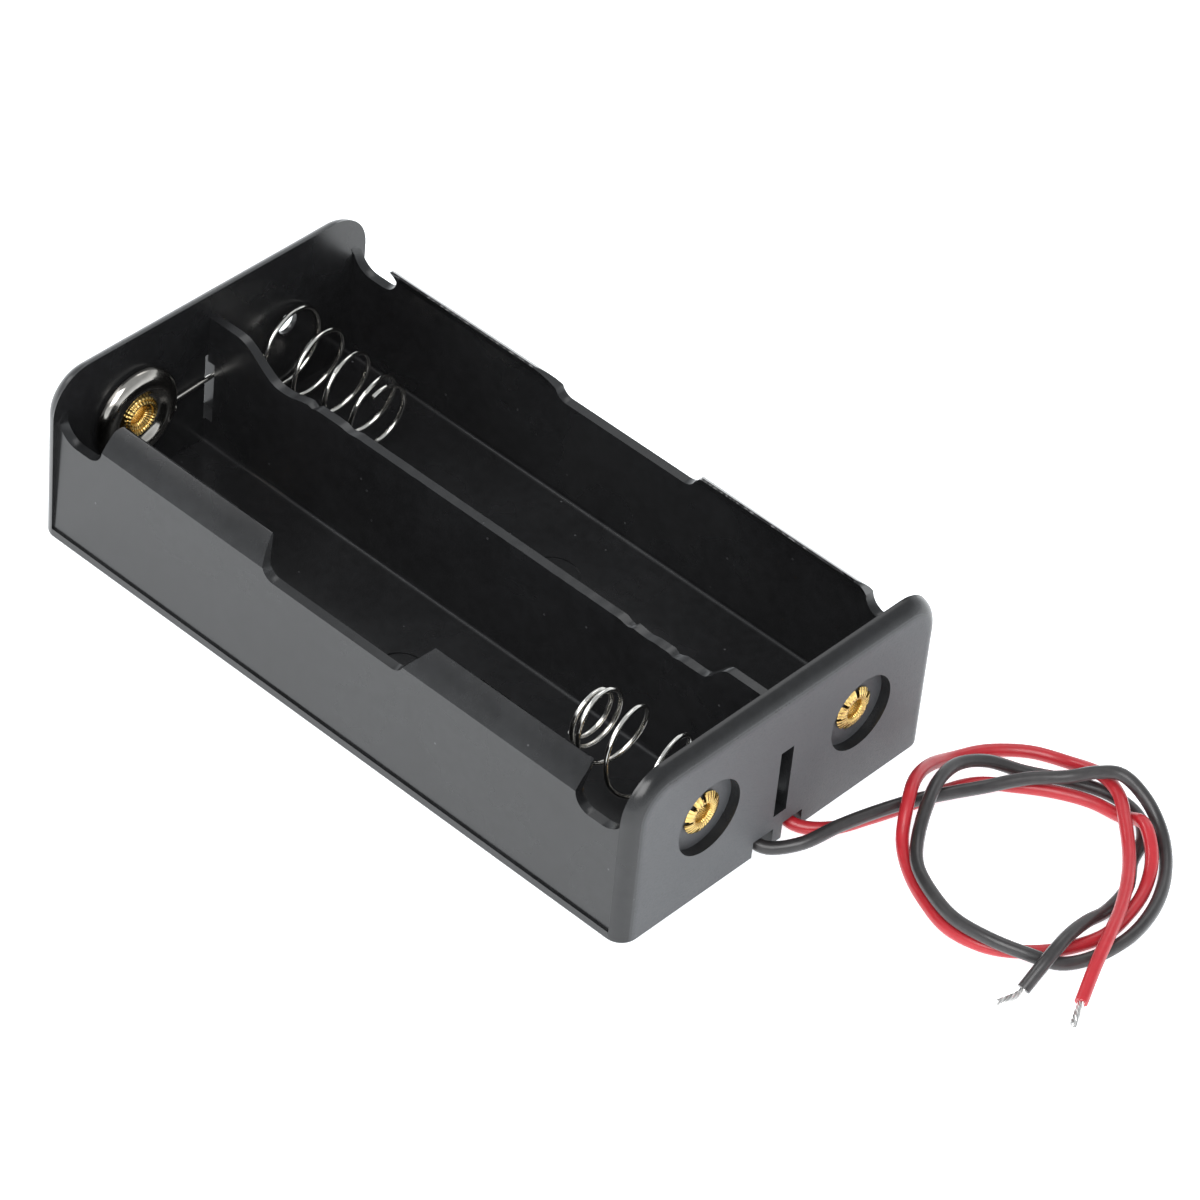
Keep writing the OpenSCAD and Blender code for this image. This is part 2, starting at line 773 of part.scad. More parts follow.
module black_solder_joint() {
    color([0.75, 0.75, 0.77])
        bead(black_route, -1);
}

case();
negative_spring();
link_spring();
positive_contact();
link_contact();
negative_eyelet();
positive_eyelet();
link_eyelet();
red_lead();
black_lead();
red_lead_tip();
black_lead_tip();
red_solder_joint();
black_solder_joint();
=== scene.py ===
import math
import random

import bpy
from mathutils import Matrix, Vector, noise


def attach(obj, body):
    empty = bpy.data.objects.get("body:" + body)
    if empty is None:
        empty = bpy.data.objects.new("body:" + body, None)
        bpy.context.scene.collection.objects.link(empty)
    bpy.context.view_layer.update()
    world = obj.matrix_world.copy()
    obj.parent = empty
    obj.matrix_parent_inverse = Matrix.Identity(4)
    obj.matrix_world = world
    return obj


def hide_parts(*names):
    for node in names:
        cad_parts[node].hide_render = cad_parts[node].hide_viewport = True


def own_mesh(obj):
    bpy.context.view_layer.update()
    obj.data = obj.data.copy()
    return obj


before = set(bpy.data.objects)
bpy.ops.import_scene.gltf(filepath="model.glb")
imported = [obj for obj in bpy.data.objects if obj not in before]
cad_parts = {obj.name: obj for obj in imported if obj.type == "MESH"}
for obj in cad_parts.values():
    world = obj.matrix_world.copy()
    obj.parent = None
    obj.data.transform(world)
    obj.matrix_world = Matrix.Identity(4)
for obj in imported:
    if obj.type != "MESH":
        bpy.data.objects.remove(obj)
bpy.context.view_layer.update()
mm = 0.001
print("frame loaded")


def deselectAll():
    if bpy.context.object and bpy.context.object.mode != "OBJECT":
        bpy.ops.object.mode_set(mode="OBJECT")
    bpy.ops.object.select_all(action="DESELECT")


def onlyActive(piece):
    deselectAll()
    piece.select_set(True)
    bpy.context.view_layer.objects.active = piece


# Camera

camera = {
    "target": (0.01192, 0.00346, 0.010),
    "azimuth": 39.54,
    "elevation": 41.45,
    "roll": 5.87,
    "distance": 0.52623,
    "lens": 169.47,
}


def aimCamera():
    deselectAll()
    bpy.ops.object.camera_add()
    cam = bpy.context.object
    cam.name = "camera"
    azimuth, elevation, roll = (math.radians(camera[k]) for k in ("azimuth", "elevation", "roll"))
    back = Vector((
        math.sin(azimuth) * math.cos(elevation),
        -math.cos(azimuth) * math.cos(elevation),
        math.sin(elevation),
    ))
    right = Vector((0, 0, 1)).cross(back).normalized()
    up = back.cross(right)
    tilt = Matrix.Rotation(roll, 3, back)
    right, up = tilt @ right, tilt @ up
    place = Vector(camera["target"]) + camera["distance"] * back
    cam.matrix_world = Matrix((
        (right.x, up.x, back.x, place.x),
        (right.y, up.y, back.y, place.y),
        (right.z, up.z, back.z, place.z),
        (0, 0, 0, 1),
    ))
    cam.data.lens = camera["lens"]
    cam.data.sensor_width = 36
    cam.data.clip_start = 0.01
    bpy.context.scene.camera = cam


aimCamera()
print("camera placed")


# Leads

# The wall's inner face, from which the routes measure X
wallX = 36.8 * mm

# Each route starts at its solder joint and ends where the insulation is cut
redLead = {
    "name": "redLead",
    "diameter": 1.3 * mm,
    "route": [
        (-0.0011, 0.0054, 0.0048), (-0.0014, 0.0045, 0.0036), (-0.0012, 0.0034, 0.0024),
        (0.0000, 0.0024, 0.0012), (0.0021, 0.0026, 0.0007), (0.0044, 0.0048, 0.0007),
        (0.0058, 0.0083, 0.0007), (0.0070, 0.0120, 0.0007), (0.0080, 0.0158, 0.0007),
        (0.0095, 0.0193, 0.0007), (0.0123, 0.0218, 0.0007), (0.0152, 0.0239, 0.0007),
        (0.0183, 0.0254, 0.0007), (0.0216, 0.0258, 0.0009), (0.0246, 0.0251, 0.0026),
        (0.0274, 0.0230, 0.0017), (0.0291, 0.0201, 0.0007), (0.0301, 0.0166, 0.0007),
        (0.0304, 0.0128, 0.0007), (0.0292, 0.0091, 0.0007), (0.0271, 0.0060, 0.0007),
        (0.0241, 0.0036, 0.0007), (0.0202, 0.0028, 0.0007), (0.0164, 0.0039, 0.0007),
        (0.0130, 0.0056, 0.0008), (0.0104, 0.0075, 0.0017), (0.0085, 0.0102, 0.0037),
        (0.0070, 0.0130, 0.0037), (0.0060, 0.0164, 0.0025), (0.0059, 0.0200, 0.0010),
        (0.0072, 0.0234, 0.0007), (0.0100, 0.0263, 0.0007), (0.0136, 0.0278, 0.0009),
        (0.0174, 0.0276, 0.0022), (0.0206, 0.0262, 0.0028), (0.0233, 0.0239, 0.0027),
        (0.0259, 0.0214, 0.0022), (0.0281, 0.0185, 0.0022), (0.0300, 0.0152, 0.0022),
        (0.0315, 0.0118, 0.0023), (0.0329, 0.0082, 0.0018), (0.0344, 0.0046, 0.0007),
    ],
}
blackLead = {
    "name": "blackLead",
    "diameter": 1.3 * mm,
    "route": [
        (-0.0011, -0.0054, 0.0048), (-0.0014, -0.0045, 0.0036), (-0.0012, -0.0035, 0.0024),
        (0.0000, -0.0024, 0.0012), (0.0021, -0.0017, 0.0007), (0.0044, 0.0006, 0.0015),
        (0.0055, 0.0042, 0.0021), (0.0066, 0.0080, 0.0022), (0.0079, 0.0117, 0.0022),
        (0.0095, 0.0152, 0.0021), (0.0109, 0.0184, 0.0018), (0.0131, 0.0219, 0.0022),
        (0.0157, 0.0247, 0.0025), (0.0178, 0.0262, 0.0036), (0.0201, 0.0271, 0.0043),
        (0.0229, 0.0274, 0.0030), (0.0257, 0.0265, 0.0015), (0.0282, 0.0243, 0.0007),
        (0.0303, 0.0211, 0.0007), (0.0316, 0.0176, 0.0007), (0.0321, 0.0138, 0.0007),
        (0.0315, 0.0098, 0.0007), (0.0301, 0.0068, 0.0009), (0.0277, 0.0047, 0.0018),
        (0.0244, 0.0033, 0.0022), (0.0206, 0.0029, 0.0022), (0.0170, 0.0039, 0.0022),
        (0.0138, 0.0056, 0.0023), (0.0116, 0.0082, 0.0026), (0.0099, 0.0113, 0.0035),
        (0.0086, 0.0145, 0.0037), (0.0080, 0.0180, 0.0030), (0.0090, 0.0212, 0.0020),
        (0.0116, 0.0238, 0.0008), (0.0152, 0.0261, 0.0007), (0.0188, 0.0275, 0.0007),
        (0.0223, 0.0273, 0.0007), (0.0247, 0.0252, 0.0007), (0.0260, 0.0220, 0.0007),
        (0.0279, 0.0190, 0.0007), (0.0285, 0.0154, 0.0007), (0.0288, 0.0118, 0.0019),
        (0.0293, 0.0084, 0.0027), (0.0298, 0.0052, 0.0025), (0.0298, 0.0020, 0.0007),
    ],
}


# Points of a smooth curve through a route
def smoothRoute(route, steps):
    points = [Vector(p) for p in route]
    ends = [2 * points[0] - points[1]] + points + [2 * points[-1] - points[-2]]
    smooth = []
    for i in range(1, len(ends) - 2):
        a, b, c, d = ends[i - 1:i + 3]
        for k in range(steps):
            t = k / steps
            smooth.append(0.5 * (2 * b + (c - a) * t + (2 * a - 5 * b + 4 * c - d) * t * t
                                 + (3 * b - a - 3 * c + d) * t ** 3))
    return smooth + [points[-1]]


# A round wire along points, as a mesh
def wire(name, points, radius, sides, closed=False):
    data = bpy.data.curves.new(name, "CURVE")
    data.dimensions = "3D"
    data.bevel_depth = radius
    data.bevel_resolution = max(0, sides // 4 - 1)
    data.use_fill_caps = True
    spline = data.splines.new("POLY")
    spline.points.add(len(points) - 1)
    for point, place in zip(spline.points, points):
        point.co = (*place, 1)
    spline.use_cyclic_u = closed
    piece = bpy.data.objects.new(name, data)
    bpy.context.scene.collection.objects.link(piece)
    onlyActive(piece)
    bpy.ops.object.convert(target="MESH")
    bpy.ops.object.shade_smooth_by_angle(angle=math.radians(50))
    return bpy.context.object


def join(name, parts):
    deselectAll()
    for part in parts:
        part.select_set(True)
    bpy.context.view_layer.objects.active = parts[0]
    bpy.ops.object.join()
    joined = bpy.context.object
    joined.name = name
    return joined


bareEnds = {
    "strands": 7, "strand": 0.24 * mm, "pitch": 3.2 * mm, "length": 2.8 * mm,
    "inside": 0.6 * mm, "straight": 0.5 * mm, "touch": 1.6 * mm,
    "spacing": 0.93, "fray": 0.15, "lowest": 1.65,
}


# Twisted strands that go on from the cut insulation and drop to the surface
def bareEnd(name, points, turnAside):
    start = points[-1]
    ahead = (points[-1] - points[-3]).normalized()
    flat = Vector((ahead.x, ahead.y, 0)).normalized()
    side = Vector((0, 0, 1)).cross(flat)
    low = bareEnds["strand"] * bareEnds["lowest"]
    line = smoothRoute([
        start - bareEnds["inside"] * ahead,
        start + bareEnds["straight"] * ahead,
        Vector((start.x, start.y, low)) + bareEnds["touch"] * flat + 0.4 * turnAside * mm * side,
        Vector((start.x, start.y, low)) + bareEnds["length"] * flat + turnAside * mm * side,
    ], 10)
    parts = []
    for k in range(bareEnds["strands"]):
        ring = 0 if k == 0 else bareEnds["strand"] * bareEnds["spacing"]
        turned = []
        walked = 0
        for i, p in enumerate(line):
            walked += (p - line[max(i - 1, 0)]).length
            along = (line[min(i + 1, len(line) - 1)] - line[max(i - 1, 0)]).normalized()
            across = along.cross(Vector((0, 0, 1))).normalized()
            over = across.cross(along)
            angle = math.tau * (k / (bareEnds["strands"] - 1) + walked / bareEnds["pitch"])
            spread = ring * (1 if k % 3 else 1 + bareEnds["fray"] * i / len(line))
            turned.append(p + spread * (math.cos(angle) * across + math.sin(angle) * over))
        parts.append(wire(f"{name}Strand{k}", turned, bareEnds["strand"] / 2, 8))
    return join(name, parts)


# Insulation as a tube along its route, with its strands at the far end
def makeLead(lead, node, turnAside):
    route = [Vector(p) + Vector((wallX, 0, 0)) for p in lead["route"]]
    points = smoothRoute(route, 6)
    piece = wire(lead["name"], points, lead["diameter"] / 2, 16)
    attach(piece, "case")
    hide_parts(node)
    tip = bareEnd(lead["name"] + "End", points, turnAside)
    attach(tip, "case")
    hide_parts(node + "_tip")
    return piece, tip


redPiece, redEnd = makeLead(redLead, "red_lead", 0.1)
blackPiece, blackEnd = makeLead(blackLead, "black_lead", -0.6)
print("leads laid")


# Springs

contactY, contactZ = 10.295 * mm, 9.8 * mm
spring = {
    "radius": 0.25 * mm,
    "base": 4.6 * mm,
    "length": 13.8 * mm,
    "gap": 0.02 * mm,
    "closePitch": 0.75 * mm,
    "travel": 8 * mm,
    "loop": 1.5 * mm,
    "steps": 48,
}
negativeSpring = {
    "turns": 4.2, "flat": 0.4, "bunch": 0.4, "closed": 1.7, "endAngle": 205,
    "tip": 2.45 * mm, "rise": 1.8 * mm, "y": -contactY, "z": contactZ + 0.5 * mm,
    "loopTurns": 1.35, "spiral": 0.5,
}
linkSpring = {
    "turns": 4.2, "flat": 0.611, "bunch": 0, "closed": 1, "endAngle": 112,
    "tip": 3.35 * mm, "rise": -0.6 * mm, "y": contactY - 0.4 * mm, "z": contactZ - 2.6 * mm,
    "bend": 2 * mm,
}


# Points of a coil that starts flat on a wall at x and grows in direction s along X
def coilPoints(coil, x, s):
    opened = coil["turns"] - coil["closed"]
    rest = spring["length"] - 2 * spring["radius"] - spring["gap"] - coil["closed"] * spring["closePitch"]
    count = round((coil["turns"] + coil["flat"]) * spring["steps"])
    points = []
    for k in range(count + 1):
        u = (coil["turns"] + coil["flat"]) * k / count - coil["flat"]
        v = min(max(u, 0), opened) / opened
        height = spring["radius"] + spring["gap"] + rest * (v + coil["bunch"] * v * (1 - v))
        height += max(0, u - opened) * spring["closePitch"]
        r = spring["base"] + (coil["tip"] - spring["base"]) * max(u, 0) / coil["turns"]
        angle = math.radians(coil["endAngle"] - s * 360 * (coil["turns"] - u))
        lift = coil["rise"] * height / spring["length"]
        points.append(Vector((x + s * height, coil["y"] + r * math.cos(angle),
                              coil["z"] + lift + r * math.sin(angle))))
    return points


# Points of a ring section on a wall, round (y, z), from angle a to angle b
def arcPoints(x, y, z, radius, a, b, step):
    count = max(1, round(abs(b - a) / step))
    turns = [math.radians(a + (b - a) * k / count) for k in range(count + 1)]
    return [Vector((x, y + radius * math.cos(t), z + radius * math.sin(t))) for t in turns]


# Its wire loops round the eyelet first and spirals out to the coil
def makeNegativeSpring():
    x = wallX - spring["radius"] - spring["gap"]
    coil = negativeSpring
    turns = coil["loopTurns"]
    out = coil["spiral"]
    start = coil["endAngle"] + 360 * (coil["turns"] + coil["flat"])
    points = []
    for k in range(round(turns * spring["steps"])):
        v = k / spring["steps"]
        share = max(0, v - turns + out) / out
        share = share * share * (3 - 2 * share)
        r = spring["loop"] + (spring["base"] - spring["loop"]) * share
        angle = math.radians(start + 360 * (turns - v))
        points.append(Vector((x, coil["y"] + r * math.cos(angle),
                              contactZ + (coil["z"] - contactZ) * share + r * math.sin(angle))))
    return wire("negativeSpring", points + coilPoints(coil, wallX, -1), spring["radius"], 16)


# The other spring's tail runs through the window and loops round the eyelet
def makeLinkSpring():
    x = -wallX + spring["radius"] + spring["gap"]
    coil = linkSpring
    bend = coil["bend"]
    foot = coil["y"] - spring["base"]
    loop = arcPoints(x, -contactY, contactZ, spring["loop"], -390, -90, 10)
    turn = arcPoints(x, foot - bend, coil["z"], bend, 90, 8, 8)
    middle = [loop[-1].lerp(turn[0], k / 12) for k in range(1, 12)]
    points = loop + middle + turn + coilPoints(coil, -wallX, 1)
    return wire("linkSpring", points, spring["radius"], 16)


# A spring rides on its own body and takes the place of its CAD part, with a mesh of its own
def fitSpring(piece, node):
    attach(piece, node)
    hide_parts(node)
    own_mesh(piece)
    return piece


negativePiece = fitSpring(makeNegativeSpring(), "negative_spring")
linkPiece = fitSpring(makeLinkSpring(), "link_spring")
print("springs wound")


# Cups and eyelets, turned with the wall's face at z = 0

# A piece turned from a section of (radius, height) points
def lathe(name, section, sides, closed=True):
    deselectAll()
    bpy.ops.mesh.primitive_circle_add(vertices=sides, radius=section[0][0], location=(0, 0, section[0][1]))
    piece = bpy.context.object
    piece.name = name
    bpy.ops.object.transform_apply(location=True)
    bpy.ops.object.mode_set(mode="EDIT")
    bpy.ops.mesh.select_all(action="SELECT")
    path = section + section[:1] if closed else section
    for (r, z), (nextR, nextZ) in zip(path, path[1:]):
        bpy.ops.mesh.extrude_edges_move(TRANSFORM_OT_translate={"value": (0, 0, nextZ - z)})
        bpy.ops.transform.resize(value=(nextR / r, nextR / r, 1), center_override=(0, 0, 0))
    bpy.ops.mesh.select_all(action="SELECT")
    bpy.ops.mesh.remove_doubles(threshold=1e-6)
    bpy.ops.mesh.normals_make_consistent(inside=False)
    bpy.ops.object.mode_set(mode="OBJECT")
    bpy.ops.object.shade_smooth_by_angle(angle=math.radians(40))
    return piece


# Sets a turned piece on the end wall at side s, its axis into the bay
def onWall(piece, s, t):
    place = Matrix.Translation((s * wallX, t * contactY, contactZ))
    piece.matrix_world = place @ Matrix.Rotation(-s * math.pi / 2, 4, "Y")
    onlyActive(piece)
    bpy.ops.object.transform_apply(location=True, rotation=True)
    return piece


cup = {
    "bore": 1.26 * mm, "seat": 2.3 * mm, "ring": 3.5 * mm, "rim": 5.1 * mm,
    "seatHeight": 0.55 * mm, "crown": 1.2 * mm, "sheet": 0.3 * mm, "edgeIn": 0.27 * mm,
    "gapHalf": 0.4 * mm, "gapDepth": 0.62 * mm, "gapIn": 0.3 * mm,
}


# Underside of a cup at radius r: a seat, a rise to the ring, a rounded fall
def cupUnder(r):
    if r < cup["seat"]:
        return cup["seatHeight"]
    if r < cup["ring"]:
        share = (r - cup["seat"]) / (cup["ring"] - cup["seat"])
        rise = (1 - math.cos(math.pi * share)) / 2
        return cup["seatHeight"] + (cup["crown"] - cup["seatHeight"]) * rise
    share = (r - cup["ring"]) / (cup["rim"] - cup["ring"])
    return cup["crown"] * math.sqrt(max(0, 1 - share * share))


def makeCup(name):
    rising = [cup["seat"] + (cup["ring"] - cup["seat"]) * k / 14 for k in range(15)]
    falling = [cup["ring"] + (cup["rim"] - cup["ring"]) * math.sin(math.pi / 2 * k / 16)
               for k in range(1, 17)]
    upper = [(r, cupUnder(r) + cup["sheet"]) for r in [cup["bore"]] + rising + falling]
    inner = [r - cup["edgeIn"] * k / 16 for k, r in enumerate(falling, 1)]
    lower = [(r, max(0, cupUnder(q))) for r, q in zip(inner, falling)]
    lower = [(r, cupUnder(r)) for r in [cup["bore"]] + rising] + lower
    return lathe(name, upper + lower[::-1], 96)


def smoothCup(name, node, s, t):
    piece = onWall(makeCup(name), s, t)
    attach(piece, "case")
    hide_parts(node)
    return piece


# The cup over the tail has a gap in its rim, sunk where the wire passes
def openRim(piece):
    onlyActive(piece)
    bpy.ops.object.mode_set(mode="EDIT")
    bpy.ops.mesh.select_all(action="DESELECT")
    bpy.ops.object.mode_set(mode="OBJECT")
    low = contactZ - spring["loop"] - cup["gapHalf"]
    for vertex in piece.data.vertices:
        atWire = low < vertex.co.z < low + 2 * cup["gapHalf"]
        onRim = vertex.co.y > -contactY + cup["ring"] and vertex.co.x < -wallX + cup["gapDepth"]
        vertex.select = atWire and onRim
    bpy.ops.object.mode_set(mode="EDIT")
    bpy.ops.transform.translate(value=(cup["gapDepth"], -cup["gapIn"], 0))
    bpy.ops.object.mode_set(mode="OBJECT")


# Sections are (radius, height) in millimetres, the heights of low, foot and flare from the wall
eyelet = {
    "petals": 7, "sides": 84, "sheet": 0.2 * mm,
    "notchFrom": 1.5 * mm, "notchHalf": (3, 8), "uneven": 0.18,
    "low": [(0.95, -0.6)],
    "flange": [
        (0.95, -0.45), (1.08, -0.12), (1.3, 0.02), (1.46, 0.12), (1.5, 0.3), (1.57, 0.42),
        (1.69, 0.48), (1.81, 0.42), (1.87, 0.28), (1.91, 0.18), (1.97, 0.24), (2.06, 0.28),
        (2.15, 0.23), (2.2, 0.12), (2.16, 0.02), (2.08, 0), (1.2, 0)],
    "foot": [(1.2, -0.6)],
    "flare": [
        (1.08, -0.3), (1.09, -0.7), (1.15, -0.9), (1.3, -1.02), (1.5, -1.03), (1.7, -0.98),
        (1.9, -0.9), (2.08, -0.8), (2.22, -0.7)],
}


# Split end: a flared shell with notches between its petals
def makeFlare(name, seed):
    chance = random.Random(seed)
    piece = lathe(name, [(r * mm, z * mm) for r, z in eyelet["flare"]], eyelet["sides"], False)
    uneven = eyelet["uneven"]
    notches = [(math.tau * (k + chance.uniform(-uneven, uneven)) / eyelet["petals"],
                math.radians(chance.uniform(*eyelet["notchHalf"]))) for k in range(eyelet["petals"])]
    bpy.ops.object.mode_set(mode="EDIT")
    bpy.ops.mesh.select_mode(type="FACE")
    bpy.ops.mesh.select_all(action="DESELECT")
    bpy.ops.object.mode_set(mode="OBJECT")
    for face in piece.data.polygons:
        r = math.hypot(face.center.x, face.center.y)
        angle = math.atan2(face.center.y, face.center.x)
        widening = 0.6 + 0.8 * (r / eyelet["notchFrom"] - 1) * 2
        for middle, half in notches:
            away = abs(math.remainder(angle - middle, math.tau))
            if r > eyelet["notchFrom"] and away < half * widening:
                face.select = True
    bpy.ops.object.mode_set(mode="EDIT")
    bpy.ops.mesh.delete(type="FACE")
    bpy.ops.mesh.select_mode(type="VERT")
    bpy.ops.object.mode_set(mode="OBJECT")
    shell = piece.modifiers.new("sheet", "SOLIDIFY")
    shell.thickness = eyelet["sheet"]
    shell.offset = 0
    bpy.ops.object.modifier_apply(modifier="sheet")
    bpy.ops.object.mode_set(mode="EDIT")
    bpy.ops.mesh.select_all(action="SELECT")
    bpy.ops.mesh.normals_make_consistent(inside=False)
    bpy.ops.object.mode_set(mode="OBJECT")
    bpy.ops.object.shade_smooth_by_angle(angle=math.radians(50))
    return piece


def makeEyelet(node, s, t, seat, seed):
    name = node.split("_")[0] + "Eyelet"
    lifted = [(r, z + seat / mm) for r, z in eyelet["flange"]]
    section = [(r * mm, z * mm) for r, z in eyelet["low"] + lifted + eyelet["foot"]]
    ring = lathe(name, section, eyelet["sides"])
    piece = onWall(join(name, [ring, makeFlare(name + "Flare", seed)]), s, t)
    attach(piece, "case")
    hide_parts(node)
    return piece


wireSeat = 2 * (spring["radius"] + spring["gap"])
cupSeat = cup["seatHeight"] + cup["sheet"]
positiveCup = smoothCup("positiveCup", "positive_contact", 1, 1)
linkCup = smoothCup("linkCup", "link_contact", -1, -1)
openRim(linkCup)
eyelets = [
    makeEyelet("negative_eyelet", 1, -1, wireSeat, 3),
    makeEyelet("positive_eyelet", 1, 1, cupSeat, 5),
    makeEyelet("link_eyelet", -1, -1, cupSeat, 8),
]
print("cups and eyelets turned")


# Case with softened and nibbled edges

# Nicks are (x, half length, depth) in millimetres
caseShape = {
    "edge": 0.09 * mm, "cuts": 90,
    "earInner": 9.667 * mm, "earAngle": math.radians(40.66),
    "earFrom": 9.4 * mm, "earTo": 30.2 * mm,
    "topZ": 13.9 * mm, "topHalf": 0.55 * mm, "roughness": 0.04,
    "nicks": (
        (-22.6, 0.5, 0.45), (-17.7, 0.9, 0.3), (18.7, 0.45, 0.5), (20.9, 1.2, 0.22), (24.6, 0.4, 0.5),
    ),
}


# Enters edit mode with the long edges along X selected whose ends are chosen
def longEdges(piece, chosen):
    onlyActive(piece)
    bpy.ops.object.mode_set(mode="EDIT")
    bpy.ops.mesh.select_mode(type="EDGE")
    bpy.ops.mesh.select_all(action="DESELECT")
    bpy.ops.object.mode_set(mode="OBJECT")
    vertices = piece.data.vertices
    for edge in piece.data.edges:
        first, second = (vertices[v].co for v in edge.vertices)
        edge.select = chosen(first) and chosen(second) and abs(first.x - second.x) > 2 * mm
    bpy.ops.object.mode_set(mode="EDIT")


# Angle of a point of an ear about its cell's axis
def earTurn(co):
    return math.atan2(co.z - contactZ, abs(co.y) - contactY)


def onEarTop(co):
    reach = math.hypot(co.z - contactZ, abs(co.y) - contactY)
    return abs(earTurn(co) - caseShape["earAngle"]) < 0.002 and reach > caseShape["earInner"] - 0.05 * mm


# Angle by which the torn moulding edge falls back at x along the case
def nibble(x, side):
    coarse = noise.noise(Vector((x * 140, side * 7, 0)))
    fine = noise.noise(Vector((x * 1500, side * 3, 5)))
    chip = max(0, noise.cell(Vector((x * 800, side * 11, 9))) - 0.6)
    return max(0, 0.01 + 0.02 * coarse + 0.02 * fine + 0.1 * chip)


# Moves a point of an ear's edge back along the ear's arc
def chipPoint(co):
    side = 1 if co.y > 0 else -1
    arm = Vector((0, co.y - side * contactY, co.z - contactZ))
    arm.rotate(Matrix.Rotation(-side * nibble(co.x, side), 3, "X"))
    return Vector((co.x, side * contactY + arm.y, contactZ + arm.z))


def softCase():
    onlyActive(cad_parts["case"])
    bpy.ops.object.duplicate()
    piece = bpy.context.object
    piece.name = "softCase"
    bpy.ops.object.mode_set(mode="EDIT")
    bpy.ops.mesh.select_all(action="SELECT")
    bpy.ops.mesh.remove_doubles(threshold=2e-6)
    bpy.ops.mesh.dissolve_limited(angle_limit=math.radians(0.4))
    bpy.ops.object.mode_set(mode="OBJECT")
    longEdges(piece, onEarTop)
    bpy.ops.mesh.subdivide(number_cuts=caseShape["cuts"])
    bpy.ops.object.mode_set(mode="OBJECT")
    for vertex in piece.data.vertices:
        if onEarTop(vertex.co) and caseShape["earFrom"] < abs(vertex.co.x) < caseShape["earTo"]:
            vertex.co = chipPoint(vertex.co)
    return piece


def onPartitionTop(co):
    return abs(co.y) < caseShape["topHalf"] and abs(co.z - caseShape["topZ"]) < 0.02 * mm


# Rise of the partition's worn top in millimetres, deeper nicks on the +Y edge
def topWear(co):
    wear = caseShape["roughness"] * noise.noise(Vector((co.x * 1200, co.y * 900, 3)))
    for x, half, depth in caseShape["nicks"]:
        away = abs(co.x / mm - x) / half
        if away < 1:
            wear -= depth * (1 - away * away) * (1 if co.y > 0 else 0.5)
    return wear


def nickPartition(piece):
    longEdges(piece, onPartitionTop)
    bpy.ops.mesh.subdivide(number_cuts=caseShape["cuts"] * 2)
    bpy.ops.object.mode_set(mode="OBJECT")
    for vertex in piece.data.vertices:
        if onPartitionTop(vertex.co):
            vertex.co.z += topWear(vertex.co) * mm


# Soft edges, with flat faces that stay flat in the shading
def finishCase(piece):
    onlyActive(piece)
    bevel = piece.modifiers.new("softEdges", "BEVEL")
    bevel.width = caseShape["edge"]
    bevel.segments = 2
    bevel.limit_method = "ANGLE"
    bevel.angle_limit = math.radians(35)
    bevel.use_clamp_overlap = True
    bpy.ops.object.modifier_apply(modifier="softEdges")
    bpy.ops.object.shade_smooth_by_angle(angle=math.radians(40))
    weighted = piece.modifiers.new("flatFaces", "WEIGHTED_NORMAL")
    weighted.weight = 100
    weighted.keep_sharp = True
    bpy.ops.object.modifier_apply(modifier="flatFaces")
    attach(piece, "case")
    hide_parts("case")
    return piece


casePiece = softCase()
nickPartition(casePiece)
finishCase(casePiece)
print("case edges softened:", sum(len(face.vertices) - 2 for face in casePiece.data.polygons))


# Material building blocks

def newMaterial(name):
    material = bpy.data.materials.new(name)
    material.use_nodes = True
    nodes = material.node_tree.nodes
    return material, nodes, material.node_tree.links, nodes["Principled BSDF"]


def groupSockets(group, direction, sockets):
    for name, kind, value in sockets:
        socket = group.interface.new_socket(name, in_out=direction, socket_type="NodeSocket" + kind)
        if value is not None:
            socket.default_value = value


def mathNode(nodes, links, operation, *inputs):
    node = nodes.new("ShaderNodeMath")
    node.operation = operation
    for k, value in enumerate(inputs):
        if isinstance(value, (int, float)):
            node.inputs[k].default_value = value
        else:
            links.new(value, node.inputs[k])
    return node.outputs[0]


def noiseNode(nodes, links, coordinates, scale, detail=3, roughness=0.5):
    node = nodes.new("ShaderNodeTexNoise")
    links.new(coordinates, node.inputs["Vector"])
    for name, value in (("Scale", scale), ("Detail", detail), ("Roughness", roughness)):
        if isinstance(value, (int, float)):
            node.inputs[name].default_value = value
        else:
            links.new(value, node.inputs[name])
    return node.outputs["Fac"]


def remap(nodes, links, value, low, high, toLow=0.0, toHigh=1.0):
    node = nodes.new("ShaderNodeMapRange")
    links.new(value, node.inputs["Value"])
    for name, number in (("From Min", low), ("From Max", high), ("To Min", toLow), ("To Max", toHigh)):
        if isinstance(number, (int, float)):
            node.inputs[name].default_value = number
        else:
            links.new(number, node.inputs[name])
    return node.outputs["Result"]


def mixColours(nodes, links, share, a, b):
    node = nodes.new("ShaderNodeMix")
    node.data_type = "RGBA"
    links.new(share, node.inputs["Factor"])
    for socket, value in ((node.inputs["A"], a), (node.inputs["B"], b)):
        if isinstance(value, tuple):
            socket.default_value = value
        else:
            links.new(value, socket)
    return node.outputs["Result"]


